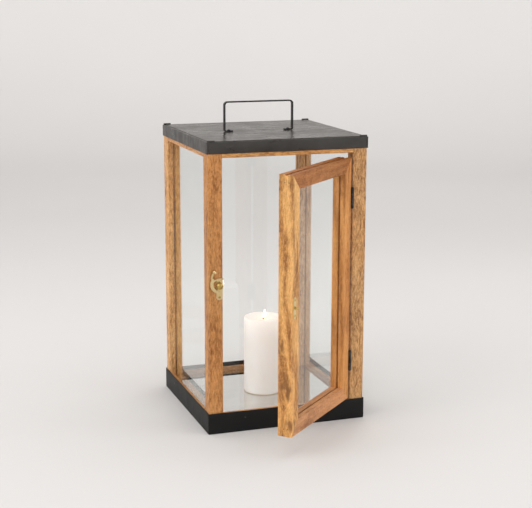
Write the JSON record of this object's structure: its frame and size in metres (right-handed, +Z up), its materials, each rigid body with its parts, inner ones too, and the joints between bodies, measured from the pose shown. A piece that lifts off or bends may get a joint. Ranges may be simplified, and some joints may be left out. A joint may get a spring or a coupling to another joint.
{
  "type": "hanging lantern",
  "caption": "Square hanging candle lantern: wooden frame with glass sides, sheet-metal roof and base tray, strap handle, glazed hinged door with a swing-hook latch, and a pillar candle.",
  "frame": {"origin": "centre of the base tray's underside, on the ground", "axes": "+Z up, the door side faces -Y, +X to the right seen from the door side"},
  "size_m": [0.2508, 0.389, 0.483],
  "materials": {
    "black_sheet_steel": "satin black powder coat on folded sheet",
    "black_hinge_steel": "satin black",
    "nail_steel": "dull steel",
    "clear_glass": "clear float glass",
    "polished_steel": "mirror polished",
    "brass": "lacquered, lightly tarnished",
    "candle_wax": "satin wax",
    "wick_cotton": "charred cotton",
    "door_wood": "oiled hardwood",
    "frame_wood": "oiled hardwood"
  },
  "bodies": {
    "root": {"base_tray": "black_sheet_steel", "base_brads": "black_sheet_steel", "bottom_rail_front": "frame_wood", "bottom_rail_back": "frame_wood", "bottom_rail_left": "frame_wood", "bottom_rail_right": "frame_wood", "post_front_left": "frame_wood", "post_front_right": "frame_wood", "post_back_left": "frame_wood", "post_back_right": "frame_wood", "top_rail_front": "frame_wood", "top_rail_back": "frame_wood", "top_rail_left": "frame_wood", "top_rail_right": "frame_wood", "glass_left": "clear_glass", "glass_right": "clear_glass", "glass_back": "clear_glass", "floor_plate": "polished_steel", "roof_cap": "black_sheet_steel", "roof_brads": "black_sheet_steel", "handle_strap": "black_sheet_steel", "handle_rivets": "black_sheet_steel", "hinge_frame_leaf_upper": "black_hinge_steel", "hinge_frame_leaf_lower": "black_hinge_steel", "hinge_frame_screws": "black_hinge_steel", "hinge_pins": "black_hinge_steel", "latch_post_plate": "brass", "latch_post_screws": "brass", "latch_pivot_rivet": "brass"},
    "door": {"door_stile_hinge": "door_wood", "door_stile_free": "door_wood", "door_rail_top": "door_wood", "door_rail_bottom": "door_wood", "door_glass": "clear_glass", "door_brads": "nail_steel", "hinge_door_leaf_upper": "black_hinge_steel", "hinge_door_leaf_lower": "black_hinge_steel", "hinge_door_screws": "black_hinge_steel", "latch_door_plate": "brass", "latch_stud": "brass", "latch_door_screws": "brass"},
    "hook": {"latch_hook": "brass", "latch_knob": "brass"},
    "candle": {"candle": "candle_wax", "wick": "wick_cotton"}
  },
  "joints": [
    {"name": "door_hinge", "type": "hinge", "parent": "root", "child": "door", "pos_m": [0.1004, -0.125, 0.22], "axis": [0, 0, 1], "range_deg": [-44, 126]},
    {"name": "latch_swing", "type": "hinge", "parent": "root", "child": "hook", "pos_m": [-0.1066, -0.1263, 0.221], "axis": [0, 1, 0], "range_deg": [-30, 105]},
    {"name": "candle_lift", "type": "slide", "parent": "root", "child": "candle", "axis": [0, 0, 1], "range_m": [0, 0.1]}
  ]
}
